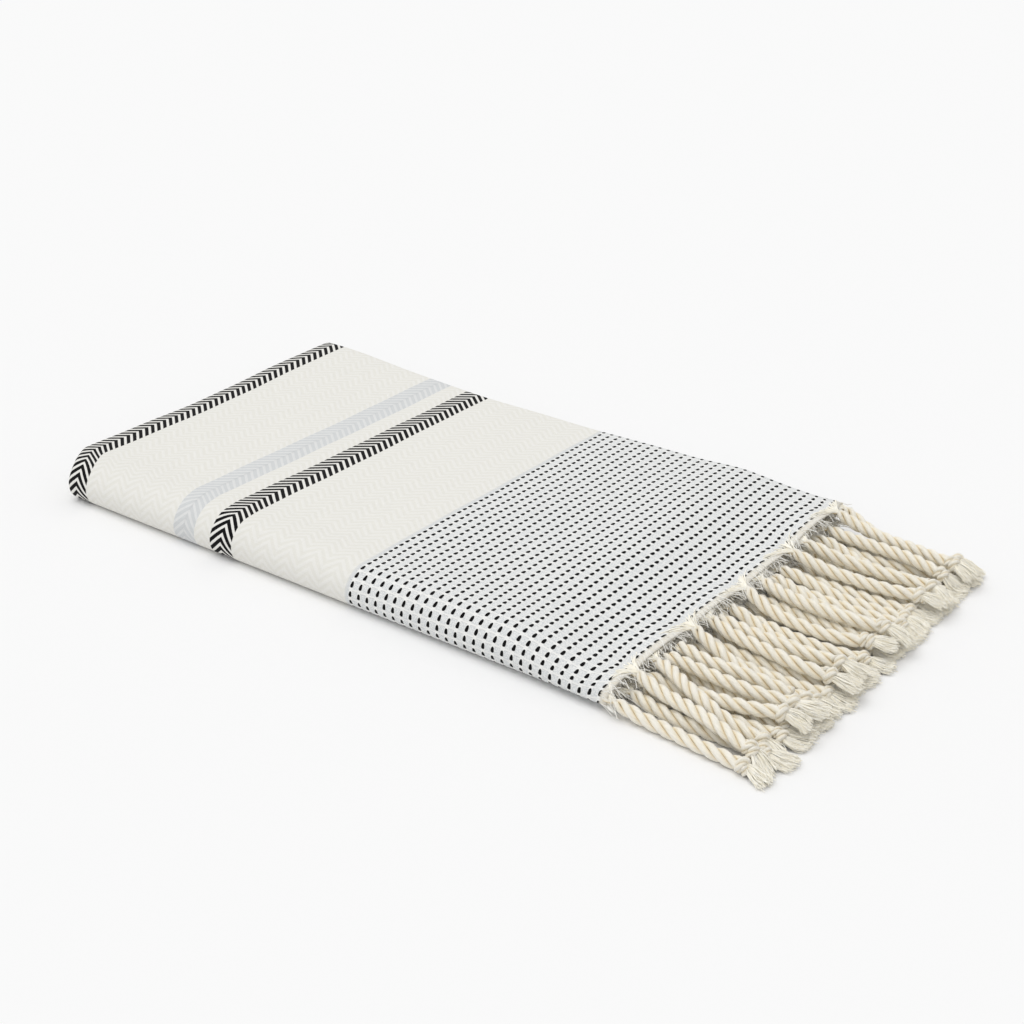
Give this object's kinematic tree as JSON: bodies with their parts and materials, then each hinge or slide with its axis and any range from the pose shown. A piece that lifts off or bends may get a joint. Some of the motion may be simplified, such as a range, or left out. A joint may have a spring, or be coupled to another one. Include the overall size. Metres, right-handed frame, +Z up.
{
  "type": "folded hammam towel",
  "caption": "Flat-woven cotton bath towel with woven stripes and a twisted-cord fringe, folded into a flat rectangular bundle with the fringe fanned out at one end.",
  "frame": {"origin": "on the surface the towel lies on, in the middle of the folded cloth's footprint, fringe left out", "axes": "+X along the bundle towards the fringed end, +Y towards its back, away from the wide rounded fold, +Z up"},
  "size_m": [0.5146, 0.2733, 0.0272],
  "materials": {
    "flat_weave": "matte off-white cotton flat weave with herringbone stripes and rows of short black floats",
    "twisted_cord": "soft matte natural cream cotton, thick twisted cords with knotted and brushed-out ends"
  },
  "bodies": {
    "root": {"towel_cloth": "flat_weave", "fringe_outer_end": "twisted_cord", "fringe_inner_end": "twisted_cord"}
  },
  "joints": []
}
